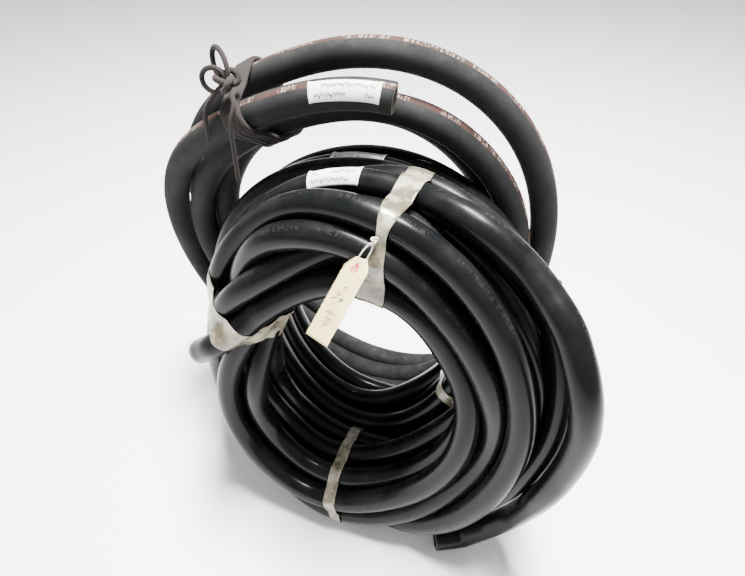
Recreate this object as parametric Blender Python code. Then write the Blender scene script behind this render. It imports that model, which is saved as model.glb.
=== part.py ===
"""Three tied coils of cut 3/4-inch hydraulic hose, standing on edge one behind the other.

Metres, +Z up, -Y towards the front, origin on the floor under the middle of the stack.
Each coil is one closed ring, the outer shape of its bound turns. The stretches that leave a ring
are tubes, and every cut end is a short stub of nested sleeves around the open bore.
"""

import math

import bmesh
import bpy
from mathutils import Matrix, Vector

# ---- hose sizes (3/4-inch bore, size -12) --------------------------------------------------
GAP = 0.0003
TAPE_THICKNESS = 0.0012
BORE_R = 0.0095
WIRE_HOSE_R = 0.0150
SPIRAL_HOSE_R = 0.0165
STUB_LENGTH = 0.026
# name, inner radius and outer radius of each layer, from the bore outwards
WIRE_LAYERS = (
    ("liner", BORE_R, 0.0114),
    ("inner_braid", 0.0117, 0.0123),
    ("outer_braid", 0.0126, 0.0132),
    ("cover", 0.0135, WIRE_HOSE_R),
)
SPIRAL_LAYERS = (
    ("liner", BORE_R, 0.0115),
    ("inner_spirals", 0.0118, 0.0129),
    ("outer_spirals", 0.0132, 0.0143),
    ("cover", 0.0146, SPIRAL_HOSE_R),
)

# ---- the three coils -----------------------------------------------------------------------
# centre; yaw about Z; lean back; roll in the coil's own plane (degrees); half width and half
# height of the turns' middle line; third-harmonic bulge (cosine, sine); half depth along the
# coil's axis and half thickness across the turns, each at the top and at the foot; height at
# which the foot is cut flat, which leaves room for the tape under the front coil
FRONT = dict(
    centre=(0.0376, -0.0667, 0.2452), yaw=3.9, lean=4.5, roll=61.5, half=(0.217, 0.181),
    bulge=(-0.0163, 0.0247), depth=(0.051, 0.052), thick=(0.041, 0.0445),
    foot=TAPE_THICKNESS + 3 * GAP,
)
MIDDLE = dict(
    centre=(0.0048, 0.0276, 0.2425), yaw=3.9, lean=4.2, roll=-6.1, half=(0.174, 0.199),
    bulge=(-0.0154, 0.0205), depth=(0.041, 0.042), thick=(0.038, 0.0425),
    foot=0.0,
)
BACK = dict(
    centre=(-0.0356, 0.0922, 0.2998), yaw=10.8, lean=-7.7, roll=8.8, half=(0.224, 0.261),
    bulge=(-0.0324, 0.0484), depth=(0.030, 0.046), thick=(0.038, 0.034),
    foot=0.0,
)
RING_STATIONS = 48
SECTION_POINTS = 12
SECTION_POWER = 2.6

# ---- loose stretches of hose ---------------------------------------------------------------
FREE_RUN = [
    (0.1568, -0.0585, 0.4872), (0.1883, -0.0565, 0.4665), (0.2207, -0.0685, 0.4472), (0.2505, -0.0905, 0.4290),
    (0.2675, -0.1025, 0.4070), (0.2795, -0.1155, 0.3860), (0.2865, -0.1155, 0.3610), (0.2915, -0.1115, 0.3150),
    (0.2885, -0.1055, 0.2550), (0.2765, -0.1005, 0.1900), (0.2495, -0.0755, 0.0770), (0.2081, -0.0862, 0.0154),
    (0.1915, -0.0960, 0.0154),
]
FRONT_TAIL = [(-0.1070, -0.1390, 0.3185), (-0.1190, -0.1413, 0.3030)]
BACK_TAIL_SPAN = (205, 236)
LABEL_RUN_SPAN = (121, 80.5)
MIDDLE_UPPER_SPAN = (-16, 18)
MIDDLE_LOWER_SPAN = (-28, -56)
MIDDLE_RUN_AXIAL = 0.018
LABEL_RUN_RADIAL = 0.012
TUBE_STEP = 0.060
# how far the straight pieces of a tube beside a coil cut inside its true curve
CHORD_ROOM = 0.0026

# ---- ties, labels and the tag --------------------------------------------------------------
# how far a ring's flat facets stand from its true curve, and the tightest curve that a strip follows
FACET_RISE = 0.0009
TIGHTEST_TURN = 0.14
TWINE_R = 0.0045
TWINE_KNOT = (-0.1355, -0.0150, 0.5608)
TWINE_KNOT_R = 0.012
TWINE_EARS = {
    "left": [(-0.1510, -0.0085, 0.5660), (-0.1585, -0.0085, 0.5680), (-0.1685, -0.0125, 0.5600),
             (-0.1705, -0.0145, 0.5450)],
    "right": [(-0.1385, 0.0015, 0.5695), (-0.1445, 0.0035, 0.5790), (-0.1555, 0.0025, 0.5840),
              (-0.1665, -0.0005, 0.5800)],
}
TWINE_TAILS = {
    "short": [(-0.1515, -0.0225, 0.5440), (-0.1625, -0.0265, 0.5250), (-0.1645, -0.0275, 0.4950)],
    "long": [(-0.1185, -0.0305, 0.5440), (-0.1200, -0.0385, 0.5250), (-0.1205, -0.0405, 0.4900),
             (-0.1200, -0.0420, 0.4600)],
}
TWINE_TAIL_R = 0.0027
LABEL_LENGTH = 0.062
LABEL_WRAP = 34
TAG_KNOT = (0.0775, -0.1105, 0.4818)
TAG_KNOT_R = 0.0035
TAG_TOP = (0.0689, -0.1197, 0.4657)
TAG_ALONG = (-0.178, -0.759, -0.626)
TAG_ACROSS = (0.801, -0.481, 0.356)
TAG_LENGTH = 0.0825
TAG_WIDTH = 0.0413
TAG_CLIP = 0.010
TAG_THICKNESS = 0.0006
TAG_HOLE_DOWN = 0.011
TAG_HOLE_R = 0.0030
PATCH_R = 0.0060
PATCH_THICKNESS = 0.0004
STRING_R = 0.0007
STRING_SPREAD = 0.0040

# ---- materials: colour, roughness, metallic ------------------------------------------------
FINISHES = {
    "smooth_cover": ((0.018, 0.018, 0.020, 1), 0.38, 0.0),
    "cloth_cover": ((0.035, 0.037, 0.037, 1), 0.85, 0.0),
    "liner": ((0.010, 0.010, 0.011, 1), 0.60, 0.0),
    "wire": ((0.420, 0.360, 0.260, 1), 0.40, 1.0),
    "paper": ((0.870, 0.870, 0.840, 1), 0.55, 0.0),
    "tape": ((0.700, 0.640, 0.520, 1), 0.40, 0.0),
    "twine": ((0.090, 0.035, 0.028, 1), 0.80, 0.0),
    "manila": ((0.830, 0.760, 0.520, 1), 0.70, 0.0),
    "patch": ((0.550, 0.120, 0.100, 1), 0.60, 0.0),
    "string": ((0.800, 0.790, 0.740, 1), 0.80, 0.0),
}


def finish(name):
    """One Principled material for each entry of FINISHES, made when it is first needed."""
    material = bpy.data.materials.get(name)
    if material is None:
        colour, roughness, metallic = FINISHES[name]
        material = bpy.data.materials.new(name)
        material.use_nodes = True
        shader = material.node_tree.nodes["Principled BSDF"]
        shader.inputs["Base Color"].default_value = colour
        shader.inputs["Roughness"].default_value = roughness
        shader.inputs["Metallic"].default_value = metallic
    return material


def add_mesh(name, points, faces, material, smooth_angle=40):
    """A mesh object in world coordinates, with its normals made to point out."""
    mesh = bpy.data.meshes.new(name)
    mesh.from_pydata([tuple(point) for point in points], [], faces)
    shape = bmesh.new()
    shape.from_mesh(mesh)
    bmesh.ops.recalc_face_normals(shape, faces=shape.faces)
    shape.to_mesh(mesh)
    shape.free()
    mesh.shade_smooth()
    mesh.set_sharp_from_angle(angle=math.radians(smooth_angle))
    mesh.materials.append(finish(material))
    piece = bpy.data.objects.new(name, mesh)
    bpy.context.scene.collection.objects.link(piece)
    return piece


# ---- coils ---------------------------------------------------------------------------------
def coil_axes(coil):
    """(right, up, front) unit vectors of a coil: right and up span its plane."""
    yaw, lean = math.radians(coil["yaw"]), math.radians(coil["lean"])
    right = Vector((math.cos(yaw), math.sin(yaw), 0))
    level_front = Vector((math.sin(yaw), -math.cos(yaw), 0))
    up = Vector((0, 0, math.cos(lean))) - level_front * math.sin(lean)
    return right, up, right.cross(up)


def coil_point(coil, angle, axial=0.0, radial=0.0):
    """A point of the coil: angle in degrees from its right side, anticlockwise seen from the front."""
    right, up, front = coil_axes(coil)
    roll = math.radians(coil["roll"])
    turn = math.radians(angle) - roll
    bulge = 1 + coil["bulge"][0] * math.cos(3 * turn) + coil["bulge"][1] * math.sin(3 * turn)
    x = (coil["half"][0] + radial) * math.cos(turn) * bulge
    y = (coil["half"][1] + radial) * math.sin(turn) * bulge
    across = x * math.cos(roll) - y * math.sin(roll)
    height = x * math.sin(roll) + y * math.cos(roll)
    return Vector(coil["centre"]) + right * across + up * height + front * axial


def section_size(coil, angle):
    """(half depth, half thickness) of the bound turns at this angle."""
    low = (1 - math.sin(math.radians(angle))) / 2
    return tuple(top + (foot - top) * low for top, foot in (coil["depth"], coil["thick"]))


def signed_power(value, power):
    return math.copysign(abs(value) ** power, value)


def skin_point(coil, angle, around, proud=0.0):
    """A point of the ring's skin, or that far outside it. Around 0 is outwards and 90 is to the front."""
    depth, thick = section_size(coil, angle)
    side = math.radians(around)
    radial = signed_power(math.cos(side), 2 / SECTION_POWER) * (thick + proud)
    axial = signed_power(math.sin(side), 2 / SECTION_POWER) * (depth + proud)
    return coil_point(coil, angle, axial, radial)


def add_ring(name, coil, material):
    """The outer shape of a coil's bound turns, cut flat where it stands on the floor."""
    points = []
    for i in range(RING_STATIONS):
        for j in range(SECTION_POINTS):
            point = skin_point(coil, 360 * i / RING_STATIONS, 360 * (j + 0.5) / SECTION_POINTS)
            point.z = max(point.z, coil["foot"])
            points.append(point)
    faces = []
    for i in range(RING_STATIONS):
        after = (i + 1) % RING_STATIONS
        for j in range(SECTION_POINTS):
            beside = (j + 1) % SECTION_POINTS
            corners = ((i, j), (i, beside), (after, beside), (after, j))
            faces.append([station * SECTION_POINTS + place for station, place in corners])
    return add_mesh(name, points, faces, material)


def add_band(name, coil, angle, width, material, thickness=TAPE_THICKNESS, room=0.0):
    """A strip of tape or cord round a coil's section, bulging forward by room at the front."""
    half = math.degrees(width / 2 / coil["half"][0])
    inside = FACET_RISE + width ** 2 / (8 * TIGHTEST_TURN)
    front = coil_axes(coil)[2]
    edges = [
        (proud, angle + side * half, lowest)
        for proud, lowest in ((inside, thickness), (inside + thickness, 0.0))
        for side in (-1, 1)
    ]
    around = 2 * SECTION_POINTS
    points = []
    for j in range(around):
        turn = 360 * (j + 0.5) / around
        bulge = room * math.sqrt(max(0.0, math.sin(math.radians(turn))))
        for proud, at, lowest in edges:
            point = skin_point(coil, at, turn, proud) + front * bulge
            point.z = max(point.z, lowest)
            points.append(point)
    faces = []
    for j in range(around):
        here, there = 4 * j, 4 * ((j + 1) % around)
        for a, b in ((0, 1), (1, 3), (3, 2), (2, 0)):
            faces.append((here + a, there + a, there + b, here + b))
    return add_mesh(name, points, faces, material)


# ---- tubes and cut ends --------------------------------------------------------------------
def smooth_route(knots, step):
    """Points a step apart along a Catmull-Rom curve through the knots."""
    knots = [Vector(knot) for knot in knots]
    fine = []
    for i in range(len(knots) - 1):
        before = knots[i - 1] if i else knots[0] * 2 - knots[1]
        after = knots[i + 2] if i + 2 < len(knots) else knots[-1] * 2 - knots[-2]
        for k in range(16):
            t = k / 16
            fine.append(0.5 * (
                2 * knots[i] + (knots[i + 1] - before) * t
                + (2 * before - 5 * knots[i] + 4 * knots[i + 1] - after) * t ** 2
                + (3 * knots[i] - before - 3 * knots[i + 1] + after) * t ** 3
            ))
    fine.append(knots[-1])
    lengths = [0.0]
    for a, b in zip(fine, fine[1:]):
        lengths.append(lengths[-1] + (b - a).length)
    count = max(2, round(lengths[-1] / step))
    route, at = [], 0
    for k in range(count + 1):
        want = lengths[-1] * k / count
        while at < len(fine) - 2 and lengths[at + 1] < want:
            at += 1
        share = (want - lengths[at]) / (lengths[at + 1] - lengths[at])
        route.append(fine[at].lerp(fine[at + 1], min(share, 1.0)))
    return route


def along_coil(coil, span, axial, radial, count=7):
    """Knots of a stretch beside a coil, from the first angle of span to the second."""
    start, end = span
    return [coil_point(coil, start + (end - start) * k / (count - 1), axial, radial) for k in range(count)]


def add_tube(name, route, radius, material, closed=False):
    """A plain tube with filled ends, or a closed loop, as a bevelled curve through the route's points."""
    curve = bpy.data.curves.new(name, "CURVE")
    curve.dimensions = "3D"
    curve.bevel_depth = radius
    curve.bevel_resolution = 2
    curve.use_fill_caps = not closed
    spline = curve.splines.new("POLY")
    spline.points.add(len(route) - 1)
    for slot, point in zip(spline.points, route):
        slot.co = (*point, 1)
    spline.use_cyclic_u = closed
    curve.materials.append(finish(material))
    tube = bpy.data.objects.new(name, curve)
    bpy.context.scene.collection.objects.link(tube)
    return tube


def add_sleeve(name, start, along, inner, outer, material, length=STUB_LENGTH, segments=16):
    """An open sleeve from start, lined up with along."""
    turn = Vector((0, 0, 1)).rotation_difference(along).to_matrix().to_4x4()
    place = Matrix.Translation(start) @ turn
    points = []
    for height, radius in ((0, inner), (0, outer), (length, outer), (length, inner)):
        for k in range(segments):
            angle = 2 * math.pi * k / segments
            points.append(place @ Vector((radius * math.cos(angle), radius * math.sin(angle), height)))
    faces = []
    for row in range(4):
        below = (row + 1) % 4
        for k in range(segments):
            beside = (k + 1) % segments
            corners = ((row, k), (row, beside), (below, beside), (below, k))
            faces.append([ring * segments + place_k for ring, place_k in corners])
    return add_mesh(name, points, faces, material, 60)


def add_cut_end(name, route, layers, cover):
    """The nested sleeves of a cut end, past the last point of its tube."""
    along = (route[-1] - route[-2]).normalized()
    materials = {"liner": "liner", "cover": cover}
    for layer, inner, outer in layers:
        start = route[-1] + along * GAP
        add_sleeve(f"{name}_{layer}", start, along, inner, outer, materials.get(layer, "wire"))


def add_run(name, end_name, knots, radius, layers, cover):
    """A tube through the knots, and the cut end that it leads to."""
    route = [Vector(knot) for knot in knots]
    if len(knots) > 2:
        route = smooth_route(knots[:-1], TUBE_STEP) + route[-1:]
    add_tube(name, route, radius, cover)
    add_cut_end(end_name, route, layers, cover)


# ---- labels and the tag --------------------------------------------------------------------
def add_label(name, surface):
    """A thin paper label: surface(row, column, proud) for rows and columns from 0 to 1."""
    rows, columns = 4, 7
    points = []
    for proud in (GAP, GAP + 0.0004):
        for i in range(rows):
            for j in range(columns):
                points.append(surface(i / (rows - 1), j / (columns - 1), proud))
    sheet = rows * columns
    faces = []
    for i in range(rows - 1):
        for j in range(columns - 1):
            corner = i * columns + j
            face = (corner, corner + 1, corner + columns + 1, corner + columns)
            faces.append(face)
            faces.append([sheet + k for k in face])
    rim = [(0, j) for j in range(columns - 1)]
    rim += [(i, columns - 1) for i in range(rows - 1)]
    rim += [(rows - 1, j) for j in range(columns - 1, 0, -1)]
    rim += [(i, 0) for i in range(rows - 1, 0, -1)]
    rim = [i * columns + j for i, j in rim]
    for a, b in zip(rim, rim[1:] + rim[:1]):
        faces.append((a, b, sheet + b, sheet + a))
    return add_mesh(name, points, faces, "paper")


def add_ring_label(name, coil, angle, around):
    """A label on a ring's skin, centred on this angle and this far around the section."""
    half = math.degrees(LABEL_LENGTH / 2 / coil["half"][0])

    def surface(row, column, proud):
        return skin_point(coil, angle + (1 - 2 * column) * half, around + (row - 0.5) * LABEL_WRAP, proud)

    return add_label(name, surface)


def add_tube_label(name, coil, angle, axial, radial, hose_r, around):
    """A label wrapped on a hose that runs beside a coil."""
    half = math.degrees(LABEL_LENGTH / 2 / coil["half"][0])
    front = coil_axes(coil)[2]
    wrap = math.degrees(0.021 / hose_r)

    def surface(row, column, proud):
        at = angle + (1 - 2 * column) * half
        middle = coil_point(coil, at, axial, radial)
        along = coil_point(coil, at + 1, axial, radial) - coil_point(coil, at - 1, axial, radial)
        outward = along.cross(front).normalized()
        side = math.radians(around + (row - 0.5) * wrap)
        bump = CHORD_ROOM + proud
        return middle + (outward * math.cos(side) + front * math.sin(side)) * (hose_r + bump)

    return add_label(name, surface)


def tag_frame():
    """(along, across, facing) unit vectors of the tag: along runs down it, facing looks up at the viewer."""
    along = Vector(TAG_ALONG).normalized()
    across = Vector(TAG_ACROSS)
    across = (across - along * across.dot(along)).normalized()
    return along, across, along.cross(across)


def add_tag_card():
    """A card with two clipped corners and a round hole near its top edge."""
    along, across, facing = tag_frame()
    half = TAG_WIDTH / 2
    outline = [
        (TAG_CLIP, -half), (TAG_LENGTH, -half), (TAG_LENGTH, half), (TAG_CLIP, half),
        (0, half - TAG_CLIP), (0, -half + TAG_CLIP),
    ]
    segments = 12
    hole = []
    for k in range(segments):
        angle = 2 * math.pi * (k + 0.5) / segments
        hole.append((TAG_HOLE_DOWN + TAG_HOLE_R * math.cos(angle), TAG_HOLE_R * math.sin(angle)))
    shape = bmesh.new()
    edges = []
    for loop in (outline, hole):
        corners = [shape.verts.new(Vector(TAG_TOP) + along * s + across * q) for s, q in loop]
        for k, corner in enumerate(corners):
            edges.append(shape.edges.new((corner, corners[(k + 1) % len(corners)])))
    filled = bmesh.ops.triangle_fill(shape, use_beauty=True, use_dissolve=False, edges=edges)
    faces = [item for item in filled["geom"] if isinstance(item, bmesh.types.BMFace)]
    raised = bmesh.ops.extrude_face_region(shape, geom=faces)
    lifted = [item for item in raised["geom"] if isinstance(item, bmesh.types.BMVert)]
    bmesh.ops.translate(shape, verts=lifted, vec=facing * TAG_THICKNESS)
    bmesh.ops.translate(shape, verts=shape.verts, vec=-facing * TAG_THICKNESS / 2)
    bmesh.ops.recalc_face_normals(shape, faces=shape.faces)
    mesh = bpy.data.meshes.new("tag_card")
    shape.to_mesh(mesh)
    shape.free()
    mesh.materials.append(finish("manila"))
    card = bpy.data.objects.new("tag_card", mesh)
    bpy.context.scene.collection.objects.link(card)


def add_tag():
    """The card, a stiffening ring on each side of its hole, and the loop of string that holds it."""
    along, across, facing = tag_frame()
    add_tag_card()
    hole = Vector(TAG_TOP) + along * TAG_HOLE_DOWN
    for side, sign in (("front", 1), ("back", -1)):
        start = hole + facing * sign * (TAG_THICKNESS / 2 + GAP)
        name = f"tag_patch_{side}"
        add_sleeve(name, start, facing * sign, TAG_HOLE_R, PATCH_R, "patch", PATCH_THICKNESS)
    knot = Vector(TAG_KNOT)
    top = knot + (hole - knot).normalized() * (TAG_KNOT_R + STRING_R + GAP)
    reach = (hole - top) / 2
    loop = []
    for k in range(20):
        angle = 2 * math.pi * k / 20
        loop.append(top + reach * (1 - math.cos(angle)) + facing * STRING_SPREAD * math.sin(angle))
    add_tube("tag_string", loop, STRING_R, "string", closed=True)


def add_knot(name, centre, radius, material):
    """A small lump of tied cord."""
    lump = bpy.data.meshes.new(name)
    shape = bmesh.new()
    bmesh.ops.create_icosphere(shape, subdivisions=2, radius=radius)
    shape.to_mesh(lump)
    shape.free()
    lump.materials.append(finish(material))
    lump.shade_smooth()
    piece = bpy.data.objects.new(name, lump)
    piece.location = centre
    bpy.context.scene.collection.objects.link(piece)


# ---- the three hoses -----------------------------------------------------------------------
def add_front_hose():
    add_ring("front_coil", FRONT, "smooth_cover")
    add_run("front_free_run", "front_free_end", FREE_RUN, WIRE_HOSE_R, WIRE_LAYERS, "smooth_cover")
    add_run("front_tail", "front_tail_end", FRONT_TAIL, WIRE_HOSE_R, WIRE_LAYERS, "smooth_cover")
    add_ring_label("front_label", FRONT, 101, -28)
    add_band("front_top_tape", FRONT, 83, 0.026, "tape")
    add_band("front_left_tape", FRONT, 149.5, 0.032, "tape")
    add_band("front_bottom_tape", FRONT, 271, 0.016, "tape")
    add_knot("tag_knot", TAG_KNOT, TAG_KNOT_R, "string")


def add_middle_hose():
    add_ring("middle_coil", MIDDLE, "smooth_cover")
    radial = MIDDLE["thick"][1] + WIRE_HOSE_R + CHORD_ROOM
    for place, span, axial in (
        ("upper", MIDDLE_UPPER_SPAN, -MIDDLE_RUN_AXIAL), ("lower", MIDDLE_LOWER_SPAN, MIDDLE_RUN_AXIAL),
    ):
        knots = along_coil(MIDDLE, span, axial, radial)
        add_run(f"middle_{place}_run", f"middle_{place}_end", knots, WIRE_HOSE_R, WIRE_LAYERS, "smooth_cover")
    add_ring_label("middle_label", MIDDLE, 95.5, 8)
    add_band("middle_right_tape", MIDDLE, 338, 0.016, "tape")
    add_band("middle_left_tape", MIDDLE, 182, 0.016, "tape")


def add_back_hose():
    add_ring("back_coil", BACK, "cloth_cover")
    axial = BACK["depth"][0] + SPIRAL_HOSE_R + GAP
    knots = along_coil(BACK, LABEL_RUN_SPAN, axial, LABEL_RUN_RADIAL)
    add_run("back_label_run", "back_label_end", knots, SPIRAL_HOSE_R, SPIRAL_LAYERS, "cloth_cover")
    knots = along_coil(BACK, BACK_TAIL_SPAN, -BACK["depth"][1] - SPIRAL_HOSE_R - GAP, 0.0)
    add_run("back_tail_run", "back_tail_end", knots, SPIRAL_HOSE_R, SPIRAL_LAYERS, "cloth_cover")
    add_tube_label("back_label", BACK, 87, axial, LABEL_RUN_RADIAL, SPIRAL_HOSE_R, 30)
    add_band("twine_wraps", BACK, 118.5, 0.030, "twine", 0.006, 0.037)
    add_knot("twine_knot", TWINE_KNOT, TWINE_KNOT_R, "twine")
    for side, knots in TWINE_EARS.items():
        add_tube(f"twine_{side}_ear", smooth_route(knots, 0.006), TWINE_R, "twine")
    for side, knots in TWINE_TAILS.items():
        add_tube(f"twine_{side}_tail", smooth_route(knots, 0.012), TWINE_TAIL_R, "twine")


for old in list(bpy.data.objects):
    bpy.data.objects.remove(old)

add_front_hose()
add_middle_hose()
add_back_hose()
add_tag()
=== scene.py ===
"""Looks of three tied coils of cut hydraulic hose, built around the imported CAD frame.

Metres, +Z up, -Y towards the front. Each hose is one long tube: its turns follow its coil's
middle line in packed slots, and neighbouring strands then push each other a diameter apart.
"""

import math

import bpy
import numpy as np
from mathutils import Matrix, Vector, geometry, noise


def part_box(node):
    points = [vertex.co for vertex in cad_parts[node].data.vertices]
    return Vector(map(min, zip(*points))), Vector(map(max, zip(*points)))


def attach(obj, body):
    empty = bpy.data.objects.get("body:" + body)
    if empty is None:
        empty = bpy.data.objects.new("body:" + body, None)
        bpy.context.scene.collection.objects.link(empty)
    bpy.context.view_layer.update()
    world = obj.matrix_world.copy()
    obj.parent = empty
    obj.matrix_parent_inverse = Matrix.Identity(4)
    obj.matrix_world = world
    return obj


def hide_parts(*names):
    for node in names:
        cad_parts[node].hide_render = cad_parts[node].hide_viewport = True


# ---- hoses and coils: sizes and places follow the CAD source ----
WIRE_HOSE_R = 0.0150
SPIRAL_HOSE_R = 0.0165
STUB_LENGTH = 0.026
WIRE_LAYERS = (
    ("liner", 0.0095, 0.0114), ("inner_braid", 0.0117, 0.0123), ("outer_braid", 0.0126, 0.0132),
)
SPIRAL_LAYERS = (
    ("liner", 0.0095, 0.0115), ("inner_spirals", 0.0118, 0.0129), ("outer_spirals", 0.0132, 0.0143),
)
WIRE_COVER_BORE = 0.0135
SPIRAL_COVER_BORE = 0.0146
FRONT = dict(
    centre=(0.0376, -0.0667, 0.2452),
    yaw=3.9, lean=4.5, roll=61.5,
    half=(0.217, 0.181), bulge=(-0.0163, 0.0247),
)
MIDDLE = dict(
    centre=(0.0048, 0.0276, 0.2425),
    yaw=3.9, lean=4.2, roll=-6.1,
    half=(0.174, 0.199), bulge=(-0.0154, 0.0205),
)
BACK = dict(
    centre=(-0.0356, 0.0922, 0.2998),
    yaw=10.8, lean=-7.7, roll=8.8,
    half=(0.224, 0.261), bulge=(-0.0324, 0.0484),
)
FREE_RUN = [
    (0.1568, -0.0585, 0.4872), (0.1883, -0.0565, 0.4665), (0.2207, -0.0685, 0.4472),
    (0.2505, -0.0905, 0.4290), (0.2675, -0.1025, 0.4070), (0.2795, -0.1155, 0.3860),
    (0.2865, -0.1155, 0.3610), (0.2915, -0.1115, 0.3150), (0.2885, -0.1055, 0.2550),
    (0.2765, -0.1005, 0.1900), (0.2495, -0.0755, 0.0770), (0.2081, -0.0862, 0.0196),
    (0.1915, -0.0960, 0.0154), (0.1689, -0.1094, 0.0154),
]
FRONT_TAIL = [(-0.1350, -0.1444, 0.2823), (-0.1190, -0.1413, 0.3030), (-0.1070, -0.1390, 0.3185)]

# ---- how the turns are packed ----
# For each angle of a coil, in the order in which the hose passes them: the (axial, radial) place
# of each pass, in millimetres from the coil's middle line, axial towards the front.
FRONT_SLOTS = {
    150: [(56, -8), (34, -40), (4, -40), (26, -4), (56, -26), (-26, -34), (18, 16), (-12, -6),
        (-44, -20), (-38, 8), (-14, 26)],
    120: [(38, -34), (10, -34), (-20, -34), (42, 8), (54, -14), (-30, -8), (18, 10), (-8, -4),
        (-50, -14), (-42, 16), (-16, 28)],
    90: [(40, -37), (11, -34), (-18, -31), (44, -6), (14, -5), (-15, -2), (39, 23), (10, 25),
        (-44, -4), (-47, 25), (-18, 27)],
    60: [(34, -50), (4, -52), (-24, -42), (43, -22), (12, -20), (-18, -12), (42, 19), (12, 21),
        (-44, 12), (-16, 36)],
    40: [(30, -58), (-1, -56), (-28, -44), (42, -29), (12, -28), (-16, -16), (43, 12), (16, 24),
        (-14, 16), (-4, 44)],
    15: [(30, -51), (0, -50), (-28, -40), (42, -26), (12, -22), (-17, -12), (44, 6), (4, 22),
        (-24, 20), (28, 38)],
    -15: [(38, -44), (6, -42), (-24, -34), (24, -13), (-4, -12), (-33, -5), (48, 4), (0, 20),
        (-30, 26), (28, 28)],
    -40: [(40, -33), (10, -32), (-20, -28), (30, -3), (-8, -18), (-2, 6), (50, 16), (-30, 2),
        (-34, 32), (22, 30)],
    -60: [(42, -19), (14, -25), (-15, -25), (38, 10), (-38, -6), (8, 4), (36, 38), (-22, 5),
        (-36, 28), (6, 33)],
    -89: [(44, 0), (26, -26), (-3, -26), (40, 30), (-32, -26), (13, 3), (10, 31), (-47, 3),
        (-17, 3), (-20, 31)],
    -135: [(42, -18), (22, -44), (-8, -46), (16, -12), (-32, -34), (-12, -20), (8, 12), (-40, -6),
        (-22, 10), (-38, 30)],
    -180: [(44, -27), (40, -57), (14, -42), (19, -10), (-10, -52), (-10, -22), (-4, 8), (-34, -35),
        (-34, -4), (-30, 25)],
}
MIDDLE_SLOTS = {
    0: [(-18, 60), (-29, 30), (-29, 1), (-29, -28), (0, -29), (0, 1), (29, -27), (29, 2), (29, 31),
        (14, 57)],
    -42: [(-18, 46), (-29, 24), (-29, -3), (-26, -32), (2, -33), (0, -4), (29, -29), (29, 0),
        (27, 29), (18, 60)],
    -90: [(-29, 27), (-29, -1), (-29, -29), (0, -31), (0, -2), (0, 27), (29, -29), (29, 0), (29, 27)],
    -180: [(-29, 29), (-29, 0), (-27, -28), (2, -30), (1, 0), (0, 29), (29, -28), (29, 1), (29, 30)],
    -270: [(-27, 27), (-28, -2), (-26, -29), (2, -29), (1, 0), (1, 29), (29, -28), (29, 1), (28, 30)],
}
BACK_SLOTS = {
    97: [(47, 12), (12, -22), (-16, -38), (-12, 28)],
    120: [(47, 8), (12, -22), (-16, -30), (-10, 26)],
    180: [(14, 18), (20, -12), (6, -38), (-18, 4)],
    232: [(33, 12), (0, 10), (-33, 12), (-62, 2)],
    270: [(33, 15), (0, 16), (-33, 15)],
    360: [(14, -8), (-18, -24), (-8, 24)],
    416: [(12, -20), (-18, -42), (-10, 28)],
}
WOBBLE = 0.0012
SLOT_BLEND = 5
POINTS_PER_TURN = 72
USUAL_TURN_R = 0.2
RELAX_ROUNDS = 160
EASE_ROUNDS = 40
END_POINTS = 16
LEAST_BEND = 0.080
TUBE_SIDES = 24
TUBE_STEP = 0.008
CUT_BEVEL = 0.0006
SLEEVE_SETBACK = 0.0004
SLEEVE_DEPTH = 0.010
SLEEVE_SIDES = 40
LOOSE_RUN_SHARE = 0.12
PUSH = 0.24
REACH = 0.048
FLOOR_HALF = 9.0

# ---- labels, tapes, twine and tag: places follow the CAD source ----
LABEL_LENGTH = 0.062
LABEL_WIDTH = 0.021
LABEL_LIFT = 0.0004
LABEL_THICKNESS = 0.0002
TAPE_LIFT = 0.0008
TAPE_THICKNESS = 0.0004
TIE_ANGLE = 118.5
TIE_WIDTH = 0.030
TIE_TURNS = 7
TIE_LOOPS = 7
LOOP_POINTS = 120
TURN_POINTS = 60
TWINE_R = 0.0036
EAR_R = 0.0030
TAIL_R = 0.0027
TWINE_KNOT = (-0.1355, -0.0150, 0.5608)
LEFT_BOW_TIP = (-0.1695, -0.0135, 0.5560)
RIGHT_BOW_TIP = (-0.1600, 0.0010, 0.5850)
BOW_HALF_WIDTH = 0.0125
BOW_LIFT = 0.0045
SHORT_TAIL = [(-0.1515, -0.0225, 0.5440), (-0.1625, -0.0265, 0.5250), (-0.1645, -0.0275, 0.4950)]
LONG_TAIL = [
    (-0.1185, -0.0305, 0.5440), (-0.1200, -0.0385, 0.5250), (-0.1205, -0.0405, 0.4900),
    (-0.1200, -0.0420, 0.4600),
]
TAG_KNOT = (0.0775, -0.1105, 0.4818)
TAG_KNOT_R = 0.0035
TAG_TOP = (0.0689, -0.1197, 0.4657)
TAG_ALONG = (-0.178, -0.759, -0.626)
TAG_ACROSS = (0.801, -0.481, 0.356)
TAG_LENGTH = 0.0825
TAG_WIDTH = 0.0413
TAG_CLIP = 0.010
TAG_THICKNESS = 0.0006
TAG_HOLE_DOWN = 0.011
TAG_HOLE_R = 0.0030
PATCH_R = 0.0060
PATCH_SIDES = 40
PATCH_PROFILE = (
    (TAG_HOLE_R * 0.6, 0.00034), (TAG_HOLE_R, 0.00064), (PATCH_R * 0.9, 0.00064), (PATCH_R, 0.00022),
)
STRING_R = 0.0007
STRING_SPREAD = 0.0040
TWINE_KNOT_SIZE = 0.0125
TAG_KNOT_SIZE = 0.0030
TAPE_WANDER = 0.12
TAPE_DRIFT = 0.0022
FINE_FOLD = 0.00075
BROAD_FOLD = 0.0011
FLOOR_GAP = 0.0003
PINCH = 0.62
PINCH_REACH = 0.030
LABEL_FLAT_SHARE = 0.86
LABEL_CURL = 0.0016
LABEL_WRINKLE = 0.00035
WRAP_SWAY = 0.0030
WRAP_STRAY = 0.0016
CARD_BOW = 0.0011
CARD_WEAR = 0.0005


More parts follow.
